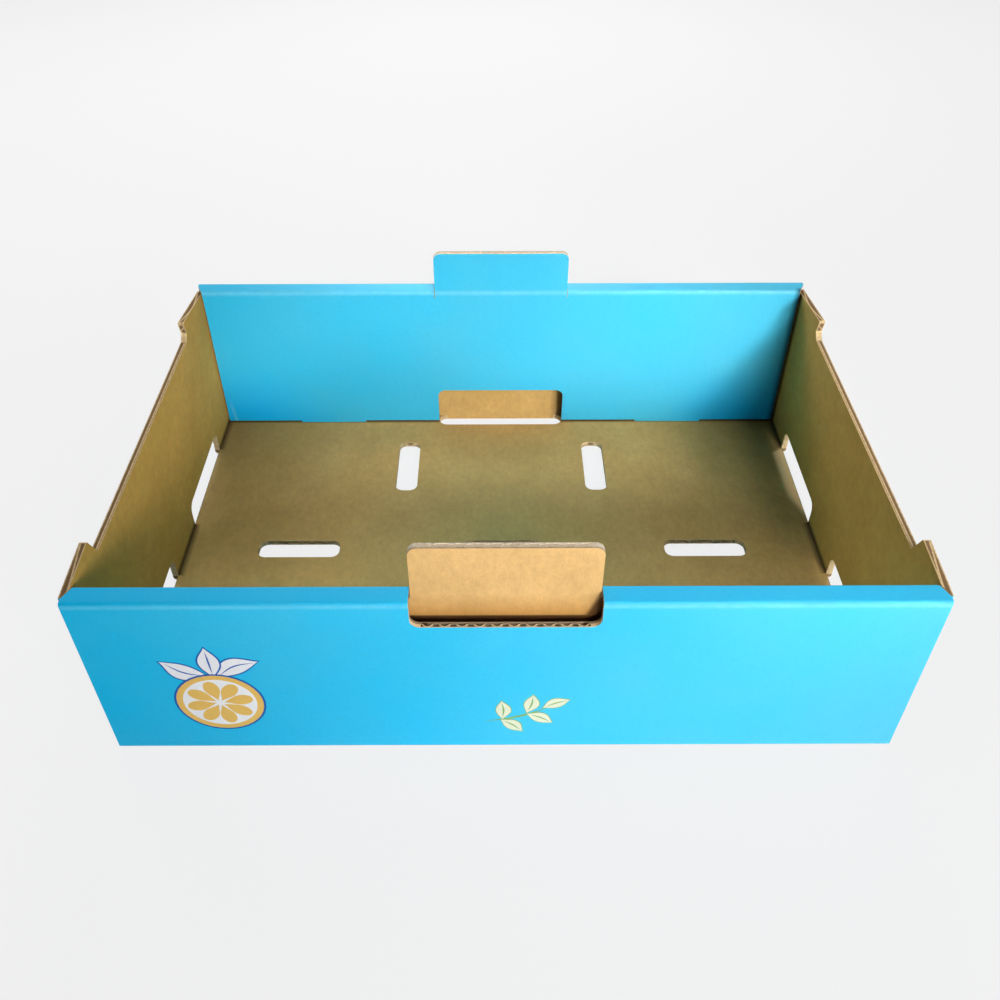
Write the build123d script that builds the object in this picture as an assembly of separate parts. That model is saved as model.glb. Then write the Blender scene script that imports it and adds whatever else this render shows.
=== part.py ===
from build123d import *
from math import cos, pi
import os

# Open produce tray, die-cut and folded from one sheet of corrugated board.
# Millimetres. X runs along the front, Y to the back, Z up.
# The origin is on the floor under the middle of the tray.

# Board
board = 3.6            # thickness of the sheet
fold_outside = 1.6     # radius round the outside of a fold
fold_inside = 0.5      # radius left on the inside of a fold
gap = 0.35             # clearance between boards that lie side by side
kerf = 0.5             # width left by a cut between two free edges
flute_pitch = 8.0      # from one wave of the corrugated sheet to the next
liner = 0.5            # flat sheets on both sides of the waves
medium = 0.5           # the wavy sheet
mouth_depth = 2.5      # how deep the flutes are open at a cut edge
wave_steps = 8         # straight steps that draw one wave

# Tray
inside_length = 395.8  # between the two side walls
width = 284.0          # over the front and back faces
height = 111.0         # floor to the top of the ledges
end_step = 1.0         # front and back panels stop this far short of the side wall's face
side_gap = 1.2         # between the ends of an inner panel and the side walls
foot_gap = 1.2         # inner panel's lower edge above the bottom sheet
foot_corner = 1.0      # cut off the lower corners of the front and back panels

# Stacking tabs, cut out of the ledge and the outer panel and left standing
tab_width = 87.0
tab_drop = 16.4        # how far the cut goes down the outer panel
tab_corner = 4.5
drop_corner = 5.0
crease_take_up = 0.8   # length lost in the crease under the tab
slit_below_ledge = 1.0 # the tab's side cuts end this far under the ledge

# Windows at the foot of the inner panels, and slots in the bottom under them
window_height = 31.3
window_corner = 5.0
slot_clearance = 0.8   # slot and window are longer than the tab by this at each end
slot_reach = 3.7       # slot comes this far into the tray, past the inner panel
slot_corner = 5.7

# Lock tabs at the foot of the inner panels
lock_start = 98.0      # from the middle of the tray
lock_length = 46.5
lock_corner = 2.0
lock_short = 0.4       # lock tab ends this far above the underside

# Side walls
wall_dip = 9.7         # middle of the side wall below the ledges
ear_rise = 2.8         # tip of an ear above the ledge
front_ear = 33.2       # corner to the tip of the front ear
front_notch = 6.3      # the front ear's side leans out by this
back_ear = 50.4        # corner to the tip of the back ear
back_undercut = 2.4    # the back ear's side leans in by this
back_shoulder = 4.2    # small slope at the foot of the back ear
shoulder_rise = 3.8
wall_corner = 1.2

# Corner flaps, folded in from the side walls and held between the two panels
flap_reach = 78.0
flap_clearance = 1.5   # above the bottom sheet and below the ledge
flap_corner = 6.0

# Vents in the bottom
vent_length = 51.0
vent_width = 14.5
vent_corner = 5.2
cross_vent_pitch = 127.5   # middle row, slots along X
long_vent_x = 64.0         # front and back pairs, slots along Y
long_vent_y = 80.6

# Vents along the foot of the side walls
side_vent_near = 22.5      # from the middle of the tray
side_vent_length = 76.5
side_vent_top = 19.0
side_vent_corner = 6.0

# Places that follow from the sizes above
ledge = 3 * board + 2 * gap              # outer panel, corner flap and inner panel
face_y = width / 2
outer_inside_y = face_y - board          # inside of the outer panel
panel_y = face_y - ledge                 # face of the inner panel
panel_back_y = panel_y + board
flap_y = outer_inside_y - gap            # outside of the corner flap
wall_in_x = inside_length / 2
wall_out_x = wall_in_x + board
front_x = wall_out_x - end_step          # end of the front and back panels
panel_end_x = wall_in_x - side_gap
ledge_under = height - board
wall_top = height - wall_dip
corner_start = flap_y - board - fold_outside   # where the side wall starts to turn into the flap
tab_top = height + ledge + tab_drop - crease_take_up
tab_foot = ledge_under - slit_below_ledge
drop_floor = height - tab_drop
opening_x = tab_width / 2 + kerf
slot_x = tab_width / 2 + slot_clearance
slot_y = panel_y - slot_reach
root_x = wall_in_x - board               # the bottom sheet's flat part ends inside these lines
root_y = slot_y - 2 * board
past = 2.0                               # how far cutters run past a face
same_place = 0.01                        # points closer than this are one


def fillet_at(face, points, radius):
    def is_named(v):
        return any(abs(v.X - x) + abs(v.Y - y) < same_place for x, y in points)

    return fillet(face.vertices().filter_by(is_named), radius)


def folded_strip(outside, inside):
    """Section of a folded board: its outer line, then its inner line back to the start."""
    face = make_face(Polyline(*outside, *reversed(inside), close=True))
    face = fillet_at(face, outside[1:-1], fold_outside)
    return fillet_at(face, inside[1:-1], fold_inside)


def long_wall():
    """Back wall: bottom fold, outer panel, ledge and inner panel, cut to its ends."""
    foot = board + foot_gap
    outside = [(root_y, 0), (face_y, 0), (face_y, height), (panel_y, height), (panel_y, foot)]
    inside = [
        (root_y, board),
        (outer_inside_y, board),
        (outer_inside_y, ledge_under),
        (panel_back_y, ledge_under),
        (panel_back_y, foot),
    ]
    strip = extrude(Plane.YZ * folded_strip(outside, inside), amount=front_x, both=True)
    end = [(panel_end_x, root_y), (panel_end_x, panel_y), (front_x, outer_inside_y), (front_x, face_y)]
    plan = make_face(Polyline(*end, *[(-x, y) for x, y in reversed(end)], close=True))
    wall = strip & extrude(plan, amount=height)
    sheet_end = Box(wall_out_x, flap_y - root_y + past, board + past)
    sheet_end = Pos(root_x + wall_out_x / 2, (flap_y + root_y - past) / 2, (board - past) / 2) * sheet_end
    wall = wall - sheet_end - mirror(sheet_end, about=Plane.YZ)
    beyond = foot_corner + past
    corner = [(front_x + past, -past), (front_x + past, beyond), (front_x - beyond, -past)]
    corner_cut = extrude(Plane.XZ * make_face(Polyline(*corner, close=True)), amount=-width)
    return wall - corner_cut - mirror(corner_cut, about=Plane.YZ)


def wall_profile():
    """Side wall seen from the side: level in the middle, with an ear at each corner."""
    tip = height + ear_rise
    front_tip = -flap_y + front_ear
    back_tip = flap_y - back_ear
    notches = [
        (front_tip, tip),
        (front_tip + front_notch, wall_top),
        (back_tip + back_undercut - back_shoulder, wall_top),
        (back_tip + back_undercut, wall_top + shoulder_rise),
        (back_tip, tip),
    ]
    points = [(-flap_y, 0), (-flap_y, height), *notches, (flap_y, ledge_under), (flap_y, 0)]
    face = fillet_at(make_face(Polyline(*points, close=True)), notches, wall_corner)
    return extrude(Plane.YZ * face, amount=wall_out_x, both=True)


def cross_strip():
    """The bottom sheet and both side walls, with their ears, corner flaps and vents."""
    tip = height + ear_rise
    outside = [(-wall_out_x, tip), (-wall_out_x, 0), (wall_out_x, 0), (wall_out_x, tip)]
    inside = [(-wall_in_x, tip), (-wall_in_x, board), (wall_in_x, board), (wall_in_x, tip)]
    strip = extrude(Plane.XZ * folded_strip(outside, inside), amount=flap_y, both=True) & wall_profile()
    for corner_cut in (corner_relief(), ledge_relief(), side_vent()):
        strip = strip - at_corners(corner_cut)
    return strip + at_corners(corner_flap())


def at_corners(piece):
    """The piece from the back right corner, at all four corners."""
    back = [piece, mirror(piece, about=Plane.YZ)]
    return back + [mirror(p, about=Plane.XZ) for p in back]


def corner_flap():
    """The fold at the back right corner and the flap behind it."""
    low = board + flap_clearance
    high = ledge_under - flap_clearance
    free_x = wall_in_x - flap_reach
    outside = [(wall_out_x, corner_start), (wall_out_x, flap_y), (free_x, flap_y)]
    inside = [(wall_in_x, corner_start), (wall_in_x, flap_y - board), (free_x, flap_y - board)]
    flap = Pos(0, 0, low) * extrude(folded_strip(outside, inside), amount=high - low)
    free_corners = flap.edges().filter_by(Axis.Y).group_by(Axis.X)[0]
    return fillet(free_corners, flap_corner)


def corner_relief():
    """Takes the square end off the wall where the flap folds in, up to a cut above and below."""
    low = board + flap_clearance - kerf
    high = ledge_under - flap_clearance + kerf
    reach = flap_y + past - corner_start
    block = Box(board + past, reach, high - low)
    return Pos(wall_in_x + (board + past) / 2, corner_start + reach / 2, (low + high) / 2) * block


def ledge_relief():
    """Clears the ledge's end where the ear passes outside it."""
    low = ledge_under - gap
    outline = [
        (root_x, face_y),
        (front_x + gap, face_y),
        (front_x + gap, outer_inside_y),
        (panel_end_x + gap, panel_y),
        (root_x, panel_y),
    ]
    face = make_face(Polyline(*outline, close=True))
    return Pos(0, 0, low) * extrude(face, amount=height + ear_rise + past - low, dir=(0, 0, 1))


def side_vent():
    """A vent that opens the wall down to the bottom sheet's edge."""
    face = RectangleRounded(side_vent_length, 2 * side_vent_top, side_vent_corner)
    centre_y = side_vent_near + side_vent_length / 2
    return extrude(Plane.YZ.offset(wall_in_x) * Pos(centre_y, 0) * face, amount=board + past)


def upright_plate(width, thickness, rise, corner):
    """A plate that stands on the origin, with its two top corners rounded."""
    plate = Box(width, thickness, rise, align=(Align.CENTER, Align.CENTER, Align.MIN))
    top_corners = plate.edges().filter_by(Axis.Y).group_by(Axis.Z)[-1]
    return fillet(top_corners, corner)


def tab_cut():
    """Opening in the back ledge and outer panel that the tab is folded up from."""
    rise = tab_top - drop_floor
    notch = RectangleRounded(2 * opening_x, 2 * rise, drop_corner)
    face = Plane.XZ.offset(-face_y - past) * Pos(0, drop_floor + rise) * notch
    outer = extrude(face, amount=face_y + past - panel_back_y - gap)
    slit_rise = tab_top - tab_foot
    slit = Box(2 * opening_x, ledge + 2 * past, slit_rise)
    return outer + Pos(0, face_y - ledge / 2, tab_foot + slit_rise / 2) * slit


def tab():
    """Back stacking tab, in line with the inner panel."""
    root = tab_foot - board
    plate = upright_plate(tab_width, board, tab_top - root, tab_corner)
    return Pos(0, panel_y + board / 2, root) * plate


def window():
    """Opening at the foot of the back inner panel, where the lower tray's tab comes up."""
    plate = upright_plate(2 * slot_x, board + gap, window_height - board, window_corner)
    return Pos(0, panel_y + board / 2, board) * plate


def stack_slot():
    """Slot in the bottom for the lower tray's tab, from inside the tray to the outer panel."""
    deep = outer_inside_y - slot_y
    face = RectangleRounded(2 * slot_x, deep, slot_corner)
    return Pos(0, slot_y + deep / 2, -past) * extrude(face, amount=board + 2 * past - fold_inside)


def lock_tab(side):
    """Tab at the foot of the back inner panel that drops into the bottom sheet."""
    low = lock_short
    rise = 2 * board + foot_gap - low
    plate = Box(lock_length, board, rise)
    foot = plate.edges().filter_by(Axis.Y).group_by(Axis.Z)[0]
    plate = chamfer(foot, lock_corner)
    centre_x = side * (lock_start + lock_length / 2)
    return Pos(centre_x, panel_y + board / 2, low + rise / 2) * plate


def lock_slot(side):
    """Slot in the bottom sheet for a lock tab."""
    block = Box(lock_length + 2 * gap, board + 2 * gap, board + foot_gap / 2)
    centre_x = side * (lock_start + lock_length / 2)
    return Pos(centre_x, panel_y + board / 2, (board + foot_gap / 2) / 2) * block


def bottom_vents():
    """Three slots across the middle and a pair of slots towards the front and the back."""
    across = RectangleRounded(vent_length, vent_width, vent_corner)
    along = Rot(0, 0, 90) * across
    faces = [Pos(column * cross_vent_pitch, 0) * across for column in (-1, 0, 1)]
    faces += [Pos(x * long_vent_x, y * long_vent_y) * along for x in (-1, 1) for y in (-1, 1)]
    return [Pos(0, 0, -past) * extrude(face, amount=board + 2 * past) for face in faces]


def flute_mouths(edge_length):
    """Open ends of the flutes at a cut edge: the edge runs along X and faces up, at the origin."""
    count = int(edge_length // flute_pitch)
    run = count * flute_pitch
    swing = board / 2 - liner
    steps = wave_steps * count
    wave = [(run * (i / steps - 0.5), swing * cos(2 * pi * i / wave_steps)) for i in range(steps + 1)]
    upper = [(x, y + medium / 2) for x, y in wave]
    lower = [(x, y - medium / 2) for x, y in reversed(wave)]
    hollows = Rectangle(run, 2 * swing) - make_face(Polyline(*upper, *lower, close=True))
    return Pos(0, 0, -mouth_depth) * extrude(hollows, amount=mouth_depth + kerf)


def back_mouths():
    """Flute mouths of the back half: tab, cut-out and stack slot."""
    panel_middle = panel_y + board / 2
    at_tab = flute_mouths(2 * (tab_width / 2 - tab_corner))
    at_drop = flute_mouths(2 * (opening_x - drop_corner))
    at_slot = flute_mouths(2 * (slot_x - slot_corner))
    return [
        Pos(0, panel_middle, tab_top) * at_tab,
        Pos(0, face_y - board / 2, drop_floor) * at_drop,
        Pos(0, slot_y, board / 2) * Rot(-90, 0, 0) * at_slot,
    ]


def vent_mouths():
    """Flute mouths along the back edges of the three middle vents."""
    row = flute_mouths(vent_length - 2 * vent_corner)
    place = Pos(0, vent_width / 2, board / 2) * Rot(90, 0, 0)
    return [Pos(column * cross_vent_pitch, 0, 0) * place * row for column in (-1, 0, 1)]


def tray():
    back = long_wall()
    body = cross_strip() + back + mirror(back, about=Plane.XZ)
    back_cuts = [tab_cut(), window(), stack_slot(), lock_slot(-1), lock_slot(1)]
    back_adds = [tab(), lock_tab(-1), lock_tab(1)]
    for cutter in back_cuts:
        body = body - cutter - mirror(cutter, about=Plane.XZ)
    for piece in back_adds:
        body = body + piece + mirror(piece, about=Plane.XZ)
    for cutter in bottom_vents():
        body = body - cutter
    for mouths in back_mouths() + vent_mouths():
        body = body - mouths - mirror(mouths, about=Plane.XZ)
    return body


part = tray()
os.makedirs("parts", exist_ok=True)
export_step(part, "parts/tray.step")
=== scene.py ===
from math import cos, hypot, pi, radians, sin

import bpy
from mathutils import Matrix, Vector


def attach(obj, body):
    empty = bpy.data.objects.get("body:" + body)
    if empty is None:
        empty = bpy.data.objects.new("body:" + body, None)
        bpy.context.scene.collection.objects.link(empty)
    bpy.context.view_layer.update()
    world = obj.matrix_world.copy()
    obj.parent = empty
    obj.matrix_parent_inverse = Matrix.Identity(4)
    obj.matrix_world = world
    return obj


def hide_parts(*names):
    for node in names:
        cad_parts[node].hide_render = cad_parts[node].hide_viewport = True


MM = 0.001

# Places on the tray, in millimetres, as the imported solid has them
BOARD = 3.6
HALF_WIDTH = 142.0
HEIGHT = 111.0
INNER_PANEL = 130.5
WALL_INSIDE = 197.9
WALL_OUTSIDE = 201.5
FLAP = 138.05
FOLD_OUTSIDE = 1.6
FOLD_INSIDE = 0.5
TAB_FOOT = 94.8
TAB_HALF_WIDTH = 43.5
TAB_CORNER = 4.5
VENT_NEAR, VENT_FAR = 22.5, 99.0
FLUTE_PITCH = 8.0
LINER = 0.4
MEDIUM = 0.4
MOUTH_DEPTH = 2.5  # how deep the flutes are open at a cut edge
PRESSED_DEPTH = 0.35  # how deep they are left open along the tabs' upper edges

# The printed picture, in millimetres of depth
INK_DEPTH = 0.28  # the front panel's face is set in by this, so that the picture stays within the tray
INK_FILM = 0.02  # how thick a patch of ink is
INK_LAYER = 0.03  # and how much thicker for each layer

# How faces are told apart: by how far they may lie from their place, in millimetres, by how much of their
# normal lies along an axis, and by their size
FLAT_OFF = 0.03
FOLD_OFF = 0.12
SQUARE = 0.95
ALONG_FOLD = 0.05
THROUGH_BOARD = 0.3
FLUTE_STEP = 1.3  # the faces inside an open flute are smaller than this

# Flat faces of the sheet: axis, distance from the middle or the floor, and which way the face looks
PRINTED_FACES = [
    ("z", 0.0, -1),
    ("z", HEIGHT, 1),
    ("y", HALF_WIDTH, 1),
    ("y", INNER_PANEL, -1),
    ("y", FLAP, 1),
    ("x", WALL_OUTSIDE, 1),
]
BARE_FACES = [
    ("z", BOARD, 1),
    ("z", HEIGHT - BOARD, -1),
    ("y", HALF_WIDTH - BOARD, -1),
    ("y", INNER_PANEL + BOARD, 1),
    ("y", FLAP - BOARD, -1),
    ("x", WALL_INSIDE, -1),
]

# Panels of the sheet: axis across the board, the middle of its thickness, the axis that crosses the flutes,
# and which part of a flute lies at 0 on that axis
PANELS = [
    ("z", BOARD / 2, "x", 0.5),
    ("z", HEIGHT - BOARD / 2, "x", 0.5),
    ("y", HALF_WIDTH - BOARD / 2, "x", 0.5),
    ("y", INNER_PANEL + BOARD / 2, "x", 0.5),
    ("y", FLAP - BOARD / 2, "z", 0.65),
    ("x", WALL_OUTSIDE - BOARD / 2, "z", 0.65),
]

# Lines along the tray, for cracked ink, painted highlights and painted light and shade: the two axes that
# cross the line, its place on them, and how far from it the mark has gone. X and Y are measured both ways
# from the middle, across and deep have their sign. Both shaded gaps are at the back inner panel's right end:
# on its print, and on the bare paper by it.
WORN_AND_HIGHLIT_FOLDS = [
    ("deep", -HALF_WIDTH, "Z", HEIGHT - 2.4, 1.9),
    ("deep", HALF_WIDTH, "Z", HEIGHT, 1.6),
    ("deep", INNER_PANEL, "Z", HEIGHT - 1.2, 2.4),
    ("Y", HALF_WIDTH, "Z", 0.0, 1.6),
    ("X", WALL_OUTSIDE, "Z", 0.0, 1.6),
    ("X", WALL_OUTSIDE, "Y", FLAP, 1.6),
]
# painted shade on the print, low on the back inner panel's ends
SHADED_PRINT_ENDS = ("X", 185.0, "Z", -20.0, 75.0)
SHADED_GAP_ON_PRINT = ("across", WALL_INSIDE - 0.5, "deep", INNER_PANEL, 4.5)
SHADED_GAP_ON_PAPER = ("across", WALL_INSIDE, "deep", INNER_PANEL, 5.0)
PANEL_FOOT = ("deep", INNER_PANEL + 0.8, "Z", BOARD, 2.8)
BEHIND_WINDOW = ("across", TAB_HALF_WIDTH + 1.5, "deep", HALF_WIDTH - BOARD, 9.0)
WALL_FOOT = ("X", WALL_INSIDE, "Z", BOARD, 4.2)
FLOOR_MIDDLE = ("across", 0.0, "deep", 6.0, 110.0)
BACK_CORNERS = ("X", WALL_INSIDE, "deep", INNER_PANEL, 95.0)


def deselect_all():
    if bpy.context.object and bpy.context.object.mode != "OBJECT":
        bpy.ops.object.mode_set(mode="OBJECT")
    bpy.ops.object.select_all(action="DESELECT")


def make_active(piece):
    deselect_all()
    piece.select_set(True)
    bpy.context.view_layer.objects.active = piece


# Materials


class Nodes:
    """A new material with its shader, and short ways to add and join nodes."""

    def __init__(self, name, roughness, gloss, color=None):
        self.material = bpy.data.materials.new(name)
        self.material.use_nodes = True
        self.tree = self.material.node_tree
        self.shader = self.tree.nodes["Principled BSDF"]
        self.shader.inputs["Roughness"].default_value = roughness
        self.shader.inputs["Specular IOR Level"].default_value = gloss
        if color:
            self.shader.inputs["Base Color"].default_value = (*color, 1)

    def add(self, kind, **inputs):
        node = self.tree.nodes.new(kind)
        for name, value in inputs.items():
            node.inputs[name.replace("_", " ")].default_value = value
        return node

    def join(self, output, node_input):
        self.tree.links.new(output, node_input)

    def place(self, scale=(1, 1, 1)):
        """The object's own coordinates, stretched."""
        coordinates = self.add("ShaderNodeTexCoord")
        mapping = self.add("ShaderNodeMapping", Scale=scale)
        self.join(coordinates.outputs["Object"], mapping.inputs["Vector"])
        return mapping.outputs["Vector"]

    def noise(self, scale, detail, roughness=0.55, stretch=(1, 1, 1)):
        node = self.add("ShaderNodeTexNoise", Scale=scale, Detail=detail, Roughness=roughness)
        self.join(self.place(stretch), node.inputs["Vector"])
        return node.outputs["Fac"]

    def math(self, operation, first, second=None, third=None):
        node = self.tree.nodes.new("ShaderNodeMath")
        node.operation = operation
        for value, socket in zip((first, second, third), node.inputs):
            if value is None:
                continue
            if isinstance(value, (int, float)):
                socket.default_value = value
            else:
                self.join(value, socket)
        return node.outputs["Value"]

    def times(self, product, *others):
        """All the values multiplied."""
        for value in others:
            product = self.math("MULTIPLY", product, value)
        return product

    def blend(self, share, first, second):
        """The first number where the share is 0, the second where it is 1, and on in a straight line."""
        return self.math("MULTIPLY_ADD", share, second - first, first)

    def ramp(self, value, start, end, most=1.0):
        """0 up to the start, rising to most at the end. The end may also be the lower one."""
        node = self.add("ShaderNodeMapRange", From_Min=start, From_Max=end, To_Min=0.0, To_Max=most)
        self.join(value, node.inputs["Value"])
        return node.outputs["Result"]

    def spread(self, value, low, high):
        """Maps a noise value's middle range to low..high."""
        node = self.add("ShaderNodeMapRange", From_Min=0.3, From_Max=0.7, To_Min=low, To_Max=high)
        self.join(value, node.inputs["Value"])
        return node.outputs["Result"]

    def mix(self, share, first, second, mode="MIX"):
        """Two colours mixed: the share says how much of the second one."""
        node = self.tree.nodes.new("ShaderNodeMix")
        node.data_type = "RGBA"
        node.blend_type = mode
        sockets = (node.inputs[0], node.inputs[6], node.inputs[7])
        for value, socket in zip((share, first, second), sockets):
            if isinstance(value, tuple):
                socket.default_value = (*value, 1)
            elif isinstance(value, (int, float)):
                socket.default_value = value
            else:
                self.join(value, socket)
        return node.outputs[2]

    def tint(self, share, color, tint):
        """A colour multiplied by a tint: the share says how much of it."""
        return self.mix(share, color, tint, "MULTIPLY")

    def shade(self, color, value):
        """A colour multiplied by a number."""
        node = self.add("ShaderNodeCombineColor")
        for channel in ("Red", "Green", "Blue"):
            self.join(value, node.inputs[channel])
        return self.tint(1.0, color, node.outputs["Color"])

    def bump(self, height, distance):
        node = self.add("ShaderNodeBump", Distance=distance, Strength=1.0)
        self.join(height, node.inputs["Height"])
        self.join(node.outputs["Normal"], self.shader.inputs["Normal"])

    def color(self, output):
        self.join(output, self.shader.inputs["Base Color"])


def millimetres(nodes):
    """The object's own coordinates in millimetres: X and Y from the middle, across and deep with a sign."""
    place = nodes.add("ShaderNodeSeparateXYZ")
    nodes.join(nodes.place((1 / MM, 1 / MM, 1 / MM)), place.inputs["Vector"])
    return {
        "X": nodes.math("ABSOLUTE", place.outputs["X"]),
        "Y": nodes.math("ABSOLUTE", place.outputs["Y"]),
        "Z": place.outputs["Z"],
        "across": place.outputs["X"],
        "deep": place.outputs["Y"],
    }


def between(nodes, value, low, high):
    """1 where the value lies between low and high, otherwise 0."""
    return nodes.math("COMPARE", value, (low + high) / 2, (high - low) / 2)


def on_side_wall(nodes, place):
    return nodes.math("GREATER_THAN", place["X"], WALL_INSIDE - 0.3)


def on_floor(nodes, place):
    return nodes.math("LESS_THAN", place["Z"], BOARD + 0.1)


def on_back_panel(nodes, place):
    """1 on the printed face of the back inner panel."""
    return between(nodes, place["deep"], INNER_PANEL - 2.5, INNER_PANEL + 1.5)


def in_front(nodes, place):
    return nodes.math("LESS_THAN", place["deep"], 0.0)


def near_line(nodes, place, line):
    """1 on the line, falling to 0 at its width."""
    first, first_at, second, second_at, width = line
    aside = nodes.math("SUBTRACT", place[first], first_at)
    above = nodes.math("SUBTRACT", place[second], second_at)
    squares = nodes.math("MULTIPLY_ADD", above, above, nodes.times(aside, aside))
    return nodes.ramp(nodes.math("SQRT", squares), width, 0.0)


def washboard(nodes, place):
    """The faint ridges over the flutes: along X on the long walls and the bottom, up Z on the side walls."""
    rise = nodes.math("SUBTRACT", place["Z"], place["across"])
    run = nodes.math("MULTIPLY_ADD", rise, on_side_wall(nodes, place), place["across"])
    return nodes.math("COSINE", nodes.times(run, 2 * pi / FLUTE_PITCH))


def bent_end(nodes, place):
    """The slanting crease at the left foot of the back inner panel, fading upwards."""
    foot, lean, width = -191.3, 0.1, 1.6
    whole_to, gone_at = 10.0, 26.7
    upright = nodes.math("MULTIPLY_ADD", place["Z"], lean, place["across"])
    off = nodes.math("ABSOLUTE", nodes.math("SUBTRACT", upright, foot))
    fading = nodes.ramp(place["Z"], gone_at, whole_to)
    return nodes.times(nodes.ramp(off, width, 0.0), fading, on_back_panel(nodes, place))


def painted_shade_on_print(nodes, place, film, shade_blue, painted_light_share):
    """Painted light and shade on the print: a deeper blue of painted shade low on the back inner panel's
    ends, and a bluer tint of painted light on the front ledge's top.
    """
    shaded_end = nodes.times(near_line(nodes, place, SHADED_PRINT_ENDS), 1.8)
    shaded_end = nodes.math("MINIMUM", shaded_end, on_back_panel(nodes, place))
    film = nodes.mix(shaded_end, film, shade_blue)
    # painted light on the front ledge's top: bluer, most at the left
    on_ledge = between(nodes, place["Z"], HEIGHT - 0.4, HEIGHT + 0.4)
    on_ledge = nodes.times(on_ledge, in_front(nodes, place))
    bluer = nodes.mix(painted_light_share, (0.80, 1.20, 1.28), (0.60, 1.00, 1.12))
    return nodes.tint(on_ledge, film, bluer)


def ink(name, light, dark, worn_and_highlit, shade_blue=None):
    """Printing ink on a smooth liner, satin, in painted light and shade: its dark colour at the front left,
    rising to its light colour at the right and towards the back. It is thin and cracked along the folds,
    with a painted highlight there that grows to the right.

    The last colour, if given, is the deeper blue of painted shade low on the back inner panel's ends.
    """
    nodes = Nodes(name, roughness=0.48, gloss=0.09)
    place = millimetres(nodes)
    # Painted light and shade across the panels: a share that is low at the front left, high at the right,
    # steadier towards the back
    to_back = nodes.ramp(place["deep"], -100.0, 100.0)
    rise = nodes.blend(to_back, 0.4 / WALL_OUTSIDE, 0.2 / WALL_OUTSIDE)
    painted_light_share = nodes.math("MULTIPLY_ADD", place["across"], rise, nodes.blend(to_back, 0.5, 0.7))
    cloudy = nodes.spread(nodes.noise(14.0, 3.0), -0.15, 0.15)
    film = nodes.mix(nodes.math("ADD", painted_light_share, cloudy), dark, light)
    film = nodes.shade(film, nodes.spread(nodes.noise(900.0, 3.0, 0.65), 0.95, 1.04))
    if shade_blue:
        film = painted_shade_on_print(nodes, place, film, shade_blue, painted_light_share)
    # The folds: ink cracked thin, with a painted highlight along them that grows towards the right
    wear_and_highlight = bent_end(nodes, place)
    for fold in WORN_AND_HIGHLIT_FOLDS:
        wear_and_highlight = nodes.math("MAXIMUM", near_line(nodes, place, fold), wear_and_highlight)
    patchy = nodes.spread(nodes.noise(160.0, 4.0, 0.7), 0.5, 0.95)
    wear_and_highlight = nodes.times(wear_and_highlight, patchy, nodes.blend(painted_light_share, 0.4, 1.05))
    film = nodes.mix(wear_and_highlight, film, worn_and_highlit)
    # Painted shade on the print in the gap at the back inner panel's right end
    gap = nodes.times(near_line(nodes, place, SHADED_GAP_ON_PRINT), 0.95)
    nodes.color(nodes.mix(gap, film, (0.0, 0.02, 0.05)))
    fibres = nodes.noise(700.0, 4.0, 0.6)
    ridges = nodes.times(washboard(nodes, place), 0.3)
    nodes.bump(nodes.math("MULTIPLY_ADD", fibres, 0.25, ridges), distance=0.00005)
    return nodes.material


def printed_liner():
    return ink(
        "printed_liner",
        # Its lit and shaded blues, its blue at the folds, and the deeper blue of painted shade low on the
        # back inner panel's ends
        light=(0.076, 0.468, 0.66),
        dark=(0.002, 0.449, 0.76),
        worn_and_highlit=(0.20, 0.62, 0.82),
        shade_blue=(0.008, 0.44, 0.85),
    )


def light_through_vents(nodes, place):
    """A painted pool of light on the floor along the side vents, where light falls in through them: wider on
    the right, tapered towards the front.
    """
    taper, blunt_end, soft_side = 26.0, 5.0, 2.86
    reach = nodes.ramp(place["Y"], VENT_NEAR, VENT_NEAR + taper, taper)
    reach = nodes.times(reach, nodes.ramp(place["Y"], VENT_FAR, VENT_FAR - blunt_end))
    on_right = nodes.math("GREATER_THAN", place["across"], 0.0)
    width = nodes.times(reach, nodes.blend(on_right, 0.12, 0.34))
    inward = nodes.math("SUBTRACT", WALL_INSIDE, place["X"])
    strip = nodes.ramp(nodes.math("SUBTRACT", width, inward), 0.0, soft_side)
    return nodes.times(strip, nodes.blend(on_right, 0.4, 1.0), on_floor(nodes, place))


def shaded_tab_foot(nodes, place):
    """Painted shade at the foot of a tab, down in the gap behind the ledge, and a painted shadow in the
    front tab's lower right corner.
    """
    lean, edge = 0.45, 36.0
    foot = nodes.ramp(place["Z"], TAB_FOOT, TAB_FOOT - 0.83)
    below = nodes.math("SUBTRACT", TAB_FOOT, place["Z"])
    # painted shadow of the cut-out's right side on the front tab
    corner = nodes.ramp(nodes.math("MULTIPLY_ADD", below, lean, place["across"]), edge, edge + 2.5, 0.9)
    under_ledge = nodes.math("LESS_THAN", place["Z"], HEIGHT)
    corner = nodes.times(corner, in_front(nodes, place), under_ledge)
    on_tab = between(nodes, place["Y"], INNER_PANEL + BOARD - 0.2, FLAP - BOARD - 0.1)
    return nodes.times(nodes.math("MAXIMUM", foot, corner), on_tab)


def light_and_shade_by_panel(nodes, place, brown):
    """The brown of each panel in painted light and shade: a shaded, warmer copy on the side walls, a lit,
    paler copy on the tabs, and painted shade low on them.
    """
    brown = nodes.tint(on_side_wall(nodes, place), brown, (1.0, 0.93, 0.58))
    on_tab = nodes.math("GREATER_THAN", place["Z"], TAB_FOOT - 6.0)
    on_tab = nodes.times(on_tab, nodes.math("LESS_THAN", place["X"], TAB_HALF_WIDTH + 1.0))
    brown = nodes.tint(on_tab, brown, (1.07, 1.09, 1.30))
    shade_low_on_tab = nodes.times(nodes.ramp(place["Z"], HEIGHT - 2.0, TAB_FOOT + 0.9), on_tab)
    return nodes.tint(shade_low_on_tab, brown, (0.78, 0.66, 0.44))


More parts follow.
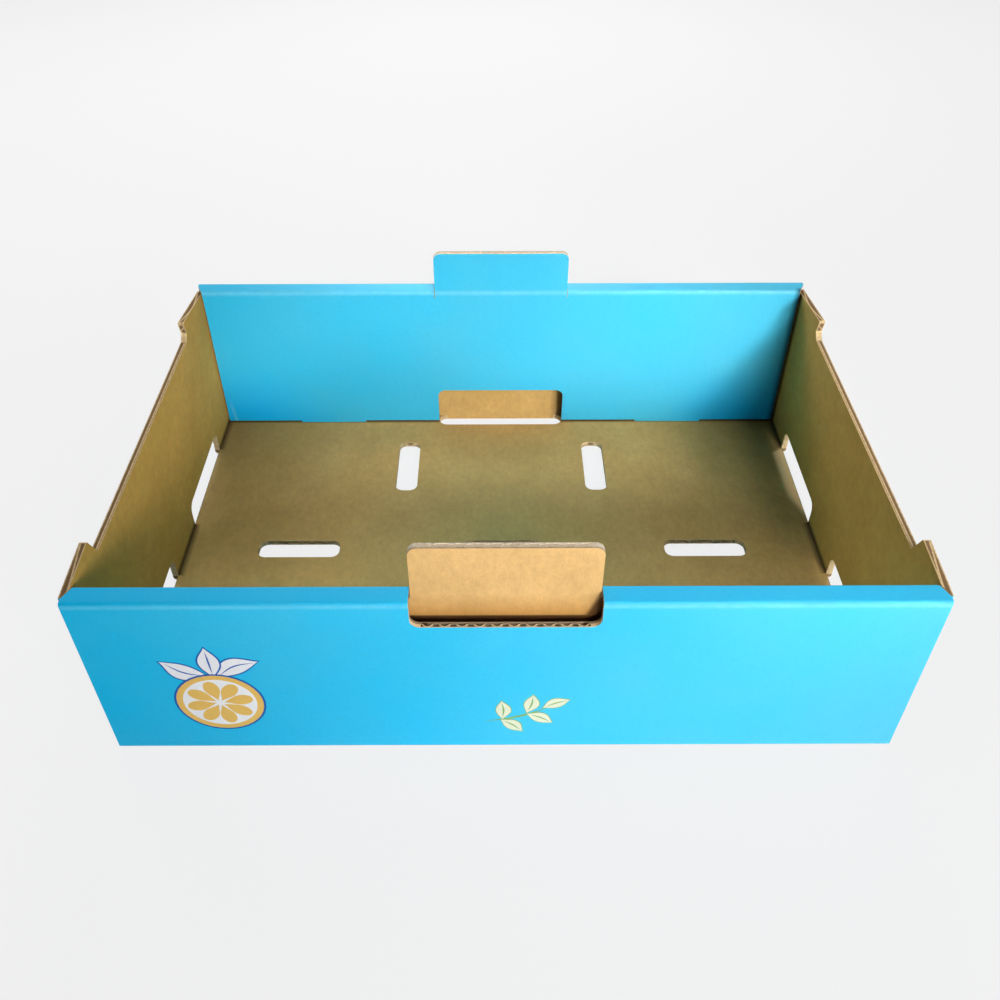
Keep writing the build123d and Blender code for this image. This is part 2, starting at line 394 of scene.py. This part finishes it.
def light_and_shade_on_floor(nodes, place, brown):
    """Painted light and shade on the floor: greyer in the middle, in the front wall's shade with blue light
    bounced into it, painted shade in the back corners and painted light towards the front left.
    """
    pale_from, palest_at = 35.0, -25.0
    here = on_floor(nodes, place)
    middle = nodes.times(near_line(nodes, place, FLOOR_MIDDLE), here)
    brown = nodes.tint(middle, brown, (0.62, 0.82, 0.91))
    corner = nodes.times(near_line(nodes, place, BACK_CORNERS), here)
    brown = nodes.tint(corner, brown, (0.50, 0.50, 0.44))
    to_front = nodes.times(nodes.ramp(place["deep"], pale_from, palest_at), here)
    to_right = nodes.ramp(place["across"], -WALL_INSIDE, WALL_INSIDE)
    painted_light = nodes.mix(to_right, (1.42, 1.50, 1.48), (1.02, 1.03, 1.0))
    return nodes.tint(to_front, brown, painted_light)


def shade_in_creases(nodes, place):
    """Painted shade in the gaps and creases: along the side walls' feet past the vents, at the tabs' feet
    and the front tab's lower right corner, in the gap at the back inner panel's right end, along its foot
    and behind the right end of its window.
    """
    past_vent = nodes.math("SUBTRACT", 1.0, between(nodes, place["Y"], VENT_NEAR, VENT_FAR))
    wall_foot = nodes.times(near_line(nodes, place, WALL_FOOT), past_vent)
    creases = nodes.math("MAXIMUM", wall_foot, shaded_tab_foot(nodes, place))
    for line in (SHADED_GAP_ON_PAPER, PANEL_FOOT, BEHIND_WINDOW):
        creases = nodes.math("MAXIMUM", near_line(nodes, place, line), creases)
    return nodes.times(creases, 0.95)


def kraft_liner():
    """Bare brown paper with fibres, specks and cloudy patches, in painted light and shade: darker in the
    creases and gaps, lit and shaded tones by panel and on the floor, and a pool of light along the vents.
    """
    nodes = Nodes("kraft_liner", roughness=0.86, gloss=0.2)
    place = millimetres(nodes)
    cloudy = nodes.spread(nodes.noise(38.0, 5.0, 0.6), 0.0, 1.0)
    brown = nodes.mix(cloudy, (0.530, 0.325, 0.104), (0.615, 0.380, 0.129))
    fibres = nodes.noise(330.0, 5.0, 0.7, stretch=(1.0, 0.6, 0.6))
    specks = nodes.noise(1500.0, 2.0, 0.5)
    grain = nodes.times(nodes.spread(fibres, 0.90, 1.08), nodes.spread(specks, 0.94, 1.05))
    brown = nodes.shade(brown, grain)
    brown = light_and_shade_by_panel(nodes, place, brown)
    brown = light_and_shade_on_floor(nodes, place, brown)
    # painted light falling in through the side vents
    vent_light = nodes.times(light_through_vents(nodes, place), 0.85)
    brown = nodes.mix(vent_light, brown, (0.86, 0.58, 0.26))
    # painted shade in the gaps and creases
    nodes.color(nodes.mix(shade_in_creases(nodes, place), brown, (0.055, 0.020, 0.005)))
    ridges = nodes.times(washboard(nodes, place), 0.35)
    nodes.bump(nodes.math("MULTIPLY_ADD", fibres, 0.5, ridges), distance=0.00008)
    return nodes.material


def open_flutes(nodes, ragged):
    """1 in the open flutes of the board's section, 0 on its two flat liners and on the wavy sheet."""
    section = nodes.add("ShaderNodeUVMap")
    section.uv_map = "board_section"
    along = nodes.add("ShaderNodeSeparateXYZ")
    nodes.join(section.outputs["UV"], along.inputs["Vector"])
    depth = nodes.math("ADD", along.outputs["Y"], ragged)
    swing = BOARD / 2 - LINER
    wave = nodes.times(nodes.math("COSINE", nodes.times(along.outputs["X"], 2 * pi)), swing)
    off_wave = nodes.math("ABSOLUTE", nodes.math("SUBTRACT", depth, wave))
    in_liner = nodes.math("SUBTRACT", swing, nodes.math("ABSOLUTE", depth))
    to_paper = nodes.math("MINIMUM", nodes.math("SUBTRACT", off_wave, MEDIUM * 0.7), in_liner)
    return nodes.ramp(to_paper, 0.0, 0.3, 0.96)


def notch_paper_lit_and_shaded(nodes, place, paper):
    """The paper of the cut edge under a tab, in painted light: paler than elsewhere, with painted shade
    towards the inside.
    """
    low, high = TAB_FOOT - 9.0, HEIGHT - 1.0
    dark_from, darkest_at = HALF_WIDTH - 2.0, HALF_WIDTH - 2.4
    in_panel = nodes.math("GREATER_THAN", place["Y"], HALF_WIDTH - BOARD - 0.1)
    here = nodes.times(in_panel, between(nodes, place["Z"], low, high))
    paper = nodes.mix(nodes.times(here, 0.6), paper, (0.92, 0.78, 0.55))
    inward = nodes.ramp(place["Y"], dark_from, darkest_at, 0.65)
    return nodes.mix(nodes.times(inward, here), paper, (0.05, 0.02, 0.008))


def pressed_paper(nodes, place, fray, ragged):
    """The paper of a tab's upper edge, darker along its outer side."""
    outward = nodes.math("SUBTRACT", place["Y"], INNER_PANEL + BOARD / 2)
    outer_side = nodes.ramp(nodes.math("ADD", outward, ragged), 0.0, 1.33, 0.8)
    paper = nodes.mix(fray, (0.44, 0.34, 0.23), (0.86, 0.77, 0.62))
    return nodes.mix(outer_side, paper, (0.36, 0.235, 0.125))


def cut_edge():
    """Raw board where the die cut through it: frayed paper round open flutes, whose hollows are painted dark
    as shade, pressed shut on the tabs.
    """
    nodes = Nodes("cut_edge", roughness=0.92, gloss=0.1)
    place = millimetres(nodes)
    torn = nodes.noise(620.0, 5.0, 0.7)
    ragged = nodes.times(nodes.math("SUBTRACT", torn, 0.5), 0.6)
    fray = nodes.spread(torn, 0.0, 1.0)
    pressed = nodes.math("GREATER_THAN", place["Z"], HEIGHT + 3.5)
    paper = nodes.mix(fray, (0.44, 0.30, 0.14), (0.76, 0.57, 0.32))
    paper = notch_paper_lit_and_shaded(nodes, place, paper)
    paper = nodes.mix(pressed, paper, pressed_paper(nodes, place, fray, ragged))
    # Painted shade in the open flutes: darkest on the long walls, lighter on the side walls and the floor,
    # pale where pressed
    shaded_hollow = nodes.mix(on_side_wall(nodes, place), (0.035, 0.014, 0.004), (0.17, 0.10, 0.045))
    in_floor = nodes.math("LESS_THAN", place["Z"], BOARD)
    shaded_hollow = nodes.mix(in_floor, shaded_hollow, (0.22, 0.145, 0.07))
    shaded_hollow = nodes.mix(pressed, shaded_hollow, (0.62, 0.50, 0.35))
    nodes.color(nodes.mix(open_flutes(nodes, ragged), paper, shaded_hollow))
    nodes.bump(torn, distance=0.0002)
    return nodes.material


# The sheet


def lies_on(place, looks, faces):
    """Whether a face at that place, looking that way, is one of these flat faces of the sheet."""
    for axis, distance, outward in faces:
        at = getattr(place, axis)
        side = -1 if at < 0 and axis != "z" else 1
        if abs(abs(at) - distance) < FLAT_OFF and getattr(looks, axis) * side * outward > SQUARE:
            return True
    return False


def lies_on_fold(place, looks, radius):
    """Whether a face is on the outside or the inside of one of the folds."""
    x, y, z = abs(place.x), abs(place.y), place.z
    in_panel, out_panel = INNER_PANEL + FOLD_OUTSIDE, HALF_WIDTH - FOLD_OUTSIDE
    wall, flap = WALL_OUTSIDE - FOLD_OUTSIDE, FLAP - FOLD_OUTSIDE
    low, high = FOLD_OUTSIDE, HEIGHT - FOLD_OUTSIDE
    if radius == FOLD_INSIDE:
        in_panel, out_panel = INNER_PANEL + BOARD + radius, HALF_WIDTH - BOARD - radius
        wall, flap = WALL_INSIDE - radius, FLAP - BOARD - radius
        low, high = BOARD + radius, HEIGHT - BOARD - radius
    along_x = abs(looks.x) < ALONG_FOLD and any(
        abs(hypot(y - fold_y, z - fold_z) - radius) < FOLD_OFF
        for fold_y, fold_z in ((out_panel, low), (out_panel, high), (in_panel, high))
    )
    along_y = abs(looks.y) < ALONG_FOLD and abs(hypot(x - wall, z - low) - radius) < FOLD_OFF
    upright = abs(looks.z) < ALONG_FOLD and abs(hypot(x - wall, y - flap) - radius) < FOLD_OFF
    return along_x or along_y or upright


def lay_out_board_section(sheet):
    """Gives each cut edge its place in the board's section: flutes along U, millimetres of depth along V."""
    solid_paper, inside_flute = (0.25, BOARD / 2), (0.0, -BOARD / 8)
    layer = sheet.data.uv_layers.new(name="board_section")
    for face in sheet.data.polygons:
        at, looks = face.center / MM, face.normal
        corners = [sheet.data.vertices[v].co / MM for v in face.vertices]
        reach = [max(c[axis] for c in corners) - min(c[axis] for c in corners) for axis in range(3)]
        off, panel = min(
            (abs(abs(getattr(at, panel[0])) - panel[1]), panel)
            for panel in PANELS
            if abs(getattr(looks, panel[0])) < THROUGH_BOARD
        )
        axis, middle, across, part = panel
        askew = max(abs(c) for c in looks) < SQUARE
        for loop, corner in zip(face.loop_indices, corners):
            if max(reach) < FLUTE_STEP:
                layer.data[loop].uv = inside_flute
            elif off > BOARD / 2 or askew or sorted(reach)[1] < BOARD / 2:
                layer.data[loop].uv = solid_paper
            else:
                flute = getattr(corner, across) / FLUTE_PITCH + part
                layer.data[loop].uv = (flute, abs(getattr(corner, axis)) - middle)


def edit_points(piece, chosen):
    """Opens the piece in edit mode with only the chosen points selected."""
    bpy.ops.object.mode_set(mode="EDIT")
    bpy.ops.mesh.select_mode(type="VERT")
    bpy.ops.mesh.select_all(action="DESELECT")
    bpy.ops.object.mode_set(mode="OBJECT")
    for vertex in piece.data.vertices:
        vertex.select = chosen(vertex.co)
    bpy.ops.object.mode_set(mode="EDIT")


def set_in_front(sheet):
    """Thins the front panel from outside by the depth of the ink, to leave room for the printed picture."""
    inside = (HALF_WIDTH - BOARD) * MM
    edit_points(sheet, lambda at: -at.y > inside)
    bpy.ops.transform.resize(value=(1, 1 - INK_DEPTH / BOARD, 1), center_override=(0, -inside, 0))
    bpy.ops.object.mode_set(mode="OBJECT")


def press_tab_flutes(sheet):
    """Fills most of the open flutes along the tabs' upper edges, which are pressed flat."""
    straight, near = (TAB_HALF_WIDTH - TAB_CORNER) * MM, 0.05 * MM
    bottom = max(vertex.co.z for vertex in sheet.data.vertices) - MOUTH_DEPTH * MM
    edit_points(sheet, lambda at: abs(at.z - bottom) < near and abs(at.x) <= straight)
    bpy.ops.transform.translate(value=(0, 0, (MOUTH_DEPTH - PRESSED_DEPTH) * MM))
    bpy.ops.object.mode_set(mode="OBJECT")


def tray_sheet(node):
    """The folded sheet, printed outside, bare inside and raw at its cut edges."""
    sheet = node.copy()
    sheet.data = node.data.copy()
    sheet.name = sheet.data.name = "tray_sheet"
    sheet.parent = None
    bpy.context.collection.objects.link(sheet)
    make_active(sheet)
    bpy.ops.object.mode_set(mode="EDIT")
    bpy.ops.mesh.select_all(action="SELECT")
    bpy.ops.mesh.remove_doubles(threshold=0.000002)
    bpy.ops.mesh.customdata_custom_splitnormals_clear()
    bpy.ops.mesh.dissolve_limited(angle_limit=radians(0.2))
    bpy.ops.object.mode_set(mode="OBJECT")
    sheet.data.materials.clear()
    for material in (cut_edge(), printed_liner(), kraft_liner()):
        sheet.data.materials.append(material)
    for face in sheet.data.polygons:
        place, looks = face.center / MM, face.normal
        if lies_on(place, looks, PRINTED_FACES) or lies_on_fold(place, looks, FOLD_OUTSIDE):
            face.material_index = 1
        elif lies_on(place, looks, BARE_FACES) or lies_on_fold(place, looks, FOLD_INSIDE):
            face.material_index = 2
        else:
            face.material_index = 0
    lay_out_board_section(sheet)
    set_in_front(sheet)
    press_tab_flutes(sheet)
    bpy.ops.object.shade_smooth_by_angle(angle=radians(40))
    return sheet


# The printed picture


def ink_patch(at, reach, turn, layer, material, pointed="", bend=0.0):
    """A flat patch of ink on the front panel, at X and Z, as long and wide as reach and turned in degrees.

    It starts as an ellipse. Pointed draws out the first end or both, and bend arches it.
    """
    deselect_all()
    bpy.ops.curve.primitive_bezier_circle_add(radius=1)
    patch = bpy.context.object
    half, wide, arch = reach[0] / 2 * MM, reach[1] / 2 * MM, bend * MM
    belly = half * 0.45 if pointed == "first" else 0.0
    left, top, right, bottom = patch.data.splines[0].bezier_points
    left.co = (-half, 0, 0)
    top.co = (belly, wide + arch, 0)
    right.co = (half, 0, 0)
    bottom.co = (belly, arch - wide, 0)
    for point in {"": (), "first": (left,), "both": (left, right)}[pointed]:
        point.handle_left_type = point.handle_right_type = "VECTOR"
    thickness = (INK_FILM + INK_LAYER * layer) * MM
    patch.data.dimensions = "2D"
    patch.data.fill_mode = "BOTH"
    patch.data.resolution_u = 9
    patch.data.extrude = thickness / 2
    bpy.ops.object.convert(target="MESH")
    patch = bpy.context.object
    patch.rotation_euler = (radians(90), -radians(turn), 0)
    patch.location = (at[0] * MM, -(HALF_WIDTH - INK_DEPTH) * MM - thickness / 2, at[1] * MM)
    bpy.ops.object.transform_apply(location=True, rotation=True, scale=True)
    bpy.ops.object.mode_set(mode="EDIT")
    bpy.ops.mesh.select_all(action="SELECT")
    bpy.ops.mesh.remove_doubles(threshold=0.000001)
    bpy.ops.mesh.normals_make_consistent(inside=False)
    bpy.ops.object.mode_set(mode="OBJECT")
    patch.data.materials.append(material)
    return patch


def one_print(name, patches):
    """Joins the patches of one printed picture."""
    deselect_all()
    for patch in patches:
        patch.select_set(True)
    bpy.context.view_layer.objects.active = patches[0]
    bpy.ops.object.join()
    picture = bpy.context.object
    picture.name = picture.data.name = name
    return picture


def outlined_leaf(at, reach, turn, layer, fill, line, bend=0.0, border=1.1):
    """A leaf with a border and a middle vein."""
    outer = (reach[0] + 2.2 * border, reach[1] + 1.6 * border)
    vein = (reach[0] * 0.86, 0.9)
    return [
        ink_patch(at, outer, turn, layer, line, "both", bend),
        ink_patch(at, reach, turn, layer + 0.3, fill, "both", bend),
        ink_patch(at, vein, turn, layer + 0.6, line, "both", bend),
    ]


def printed_fruit(gold, white, navy):
    """A round slice of citrus with three leaves over it."""
    middle = (-141.0, 38.5)
    segment, out, first_turn = (15.0, 7.4), 9.4, 12
    patches = []
    for layer, at, reach, turn, bend in (
        (1, (-153.5, 64.5), (25, 11), 152, 2.5),
        (2, (-128.5, 64.5), (25, 11), 28, 2.5),
        (3, (-141.0, 69.5), (22, 10), 92, 0.0),
    ):
        patches += outlined_leaf(at, reach, turn, layer, white, navy, bend)
    for layer, width, color in ((4, 45.0, navy), (5, 42.8, gold), (6, 36.4, white)):
        patches.append(ink_patch(middle, (width, width), 0, layer, color))
    for turn in range(first_turn, first_turn + 360, 45):
        at = (middle[0] + out * cos(radians(turn)), middle[1] + out * sin(radians(turn)))
        patches.append(ink_patch(at, segment, turn, 7, gold, "first"))
    return one_print("printed_fruit", patches)


def printed_sprig(cream, green):
    """A sprig with five leaves."""
    patches = [ink_patch((6.5, 28.0), (37, 1.5), 20, 1, green, "both", -2.0)]
    for layer, at, reach, turn, bend in (
        (2, (25.5, 36.5), (15, 7.0), 26, 0.6),
        (3, (12.5, 36.5), (15, 7.4), 78, -0.8),
        (4, (17.5, 24.5), (15, 7.4), -30, 0.8),
        (5, (-1.5, 31.5), (15, 7.4), 92, -0.8),
        (6, (3.5, 18.5), (15, 7.4), -42, 0.8),
    ):
        patches += outlined_leaf(at, reach, turn, layer, cream, green, bend, border=0.5)
    return one_print("printed_sprig", patches)


# Studio


def seen_directly(nodes):
    """1 for rays that show a surface to the camera, straight or by way of gloss or glass."""
    rays = nodes.add("ShaderNodeLightPath")
    seen = nodes.math("MAXIMUM", rays.outputs["Is Camera Ray"], rays.outputs["Is Glossy Ray"])
    return nodes.math("MAXIMUM", seen, rays.outputs["Is Transmission Ray"])


def floor_material():
    """Pale floor that shows as the background and keeps the tray's soft shadow."""
    nodes = Nodes("studio_floor", roughness=1.0, gloss=0.0, color=(0.84, 0.84, 0.84))
    glow = nodes.add("ShaderNodeEmission", Color=(0.908, 0.908, 0.908, 1), Strength=1.0)
    mixer = nodes.add("ShaderNodeMixShader")
    nodes.join(nodes.times(seen_directly(nodes), 0.9), mixer.inputs["Fac"])
    nodes.join(nodes.shader.outputs["BSDF"], mixer.inputs[1])
    nodes.join(glow.outputs["Emission"], mixer.inputs[2])
    nodes.join(mixer.outputs["Shader"], nodes.tree.nodes["Material Output"].inputs["Surface"])
    return nodes.material


def backdrop():
    """Low even light from all round, and a pale grey wherever the floor ends."""
    world = bpy.data.worlds.new("studio_world")
    bpy.context.scene.world = world
    world.use_nodes = True
    tree = world.node_tree
    light = tree.nodes["Background"]
    light.inputs["Color"].default_value = (1.0, 1.0, 1.0, 1)
    light.inputs["Strength"].default_value = 0.08
    paper = tree.nodes.new("ShaderNodeBackground")
    paper.inputs["Color"].default_value = (0.835, 0.835, 0.835, 1)
    paper.inputs["Strength"].default_value = 1.0
    rays = tree.nodes.new("ShaderNodeLightPath")
    mixer = tree.nodes.new("ShaderNodeMixShader")
    tree.links.new(rays.outputs["Is Camera Ray"], mixer.inputs["Fac"])
    tree.links.new(light.outputs["Background"], mixer.inputs[1])
    tree.links.new(paper.outputs["Background"], mixer.inputs[2])
    tree.links.new(mixer.outputs["Shader"], tree.nodes["World Output"].inputs["Surface"])


def lamp(name, azimuth, elevation, distance, size, power, aim=(0, 0, 0.06), spread=180):
    """A square softbox round the tray: azimuth 0 is in front, 90 on the right, and it looks at aim."""
    turn, rise = radians(azimuth), radians(elevation)
    outward = Vector((sin(turn) * cos(rise), -cos(turn) * cos(rise), sin(rise)))
    bpy.ops.object.light_add(
        type="AREA",
        location=Vector(aim) + outward * distance,
        rotation=outward.to_track_quat("Z", "Y").to_euler(),
    )
    softbox = bpy.context.object
    softbox.name = softbox.data.name = name
    softbox.data.shape = "SQUARE"
    softbox.data.size = size
    softbox.data.energy = power
    softbox.data.spread = radians(spread)


def lamps():
    """Two key lamps in front, two wide ones behind, and narrow ones that lift one place each."""
    back_wall, wall_foot = (-0.01, 0.13, 0.085), (0.03, 0.13, 0.045)
    left_end, right_end = (-0.11, 0.13, 0.085), (0.13, 0.13, 0.09)
    front_end, front_foot = (0.15, -0.142, 0.01), (-0.02, -0.142, -0.03)
    floor_back = (-0.02, 0.08, 0.0)
    lamp("low_key_lamp", 15, 17.5, distance=1.3, size=0.2, power=6.1)
    lamp("high_key_lamp", 29, 23, distance=1.3, size=0.2, power=4.4)
    lamp("upper_wall_lamp", 30, 42, distance=0.9, size=0.15, power=0.135, aim=back_wall, spread=36)
    lamp("lower_wall_lamp", 20, 26, distance=0.9, size=0.15, power=0.07, aim=wall_foot, spread=36)
    lamp("left_end_lamp", 10, 30, distance=0.9, size=0.15, power=0.05, aim=left_end, spread=20)
    lamp("right_end_lamp", 20, 25, distance=0.9, size=0.15, power=0.08, aim=right_end, spread=18)
    lamp("front_lamp", 0, 20, distance=0.9, size=0.2, power=0.044, aim=front_end, spread=34)
    lamp("front_end_lamp", 45, 20, distance=0.9, size=0.2, power=0.06, aim=front_end, spread=20)
    lamp("front_foot_lamp", 0, 12, distance=0.9, size=0.2, power=0.03, aim=front_foot, spread=16)
    lamp("floor_lamp", 180, 72, distance=0.9, size=0.15, power=0.028, aim=floor_back, spread=18)
    lamp("left_rear_lamp", -135, 30, distance=1.4, size=0.6, power=4.5)
    lamp("rear_lamp", 180, 30, distance=1.4, size=0.6, power=11.6)


def studio():
    bpy.ops.mesh.primitive_plane_add(size=24, location=(0, 0, 0))
    floor = bpy.context.object
    floor.name = "studio_floor"
    floor.data.materials.append(floor_material())
    backdrop()
    lamps()


def camera():
    """The photograph's viewpoint, solved from the tray's corners and edges."""
    bpy.ops.object.camera_add(
        location=(-0.005843, -0.433443, 0.438627),
        rotation=(radians(48.699), radians(0.093), radians(-0.148)),
    )
    view = bpy.context.object
    view.data.sensor_width = 36
    view.data.lens = 35.09
    view.data.shift_x = 0.00656
    view.data.shift_y = -0.01655
    bpy.context.scene.camera = view


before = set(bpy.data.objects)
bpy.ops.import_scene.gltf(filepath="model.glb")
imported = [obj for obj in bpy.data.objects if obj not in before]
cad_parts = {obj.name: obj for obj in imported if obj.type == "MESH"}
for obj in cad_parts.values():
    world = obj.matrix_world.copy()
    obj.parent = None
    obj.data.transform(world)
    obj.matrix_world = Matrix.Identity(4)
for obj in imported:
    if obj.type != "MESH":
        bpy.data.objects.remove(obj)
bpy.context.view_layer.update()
bpy.context.scene.view_settings.view_transform = "Standard"

sheet = tray_sheet(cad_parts["tray"])
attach(sheet, "root")
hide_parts("tray")

# Each ink goes from its dark colour at the left to its light colour at the right, as painted light and shade
white = ink("white_ink", light=(0.80, 0.80, 0.82), dark=(0.76, 0.76, 0.78), worn_and_highlit=(0.80, 0.80, 0.80))
gold = ink("gold_ink", light=(0.78, 0.50, 0.13), dark=(0.72, 0.45, 0.11), worn_and_highlit=(0.80, 0.60, 0.30))
navy = ink("navy_ink", light=(0.012, 0.110, 0.42), dark=(0.010, 0.095, 0.38), worn_and_highlit=(0.20, 0.30, 0.50))
cream = ink("cream_ink", light=(0.66, 0.66, 0.50), dark=(0.60, 0.61, 0.45), worn_and_highlit=(0.75, 0.75, 0.65))
green = ink("green_ink", light=(0.20, 0.38, 0.12), dark=(0.17, 0.34, 0.10), worn_and_highlit=(0.40, 0.55, 0.30))
for picture in (printed_fruit(gold, white, navy), printed_sprig(cream, green)):
    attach(picture, "root")

studio()
camera()
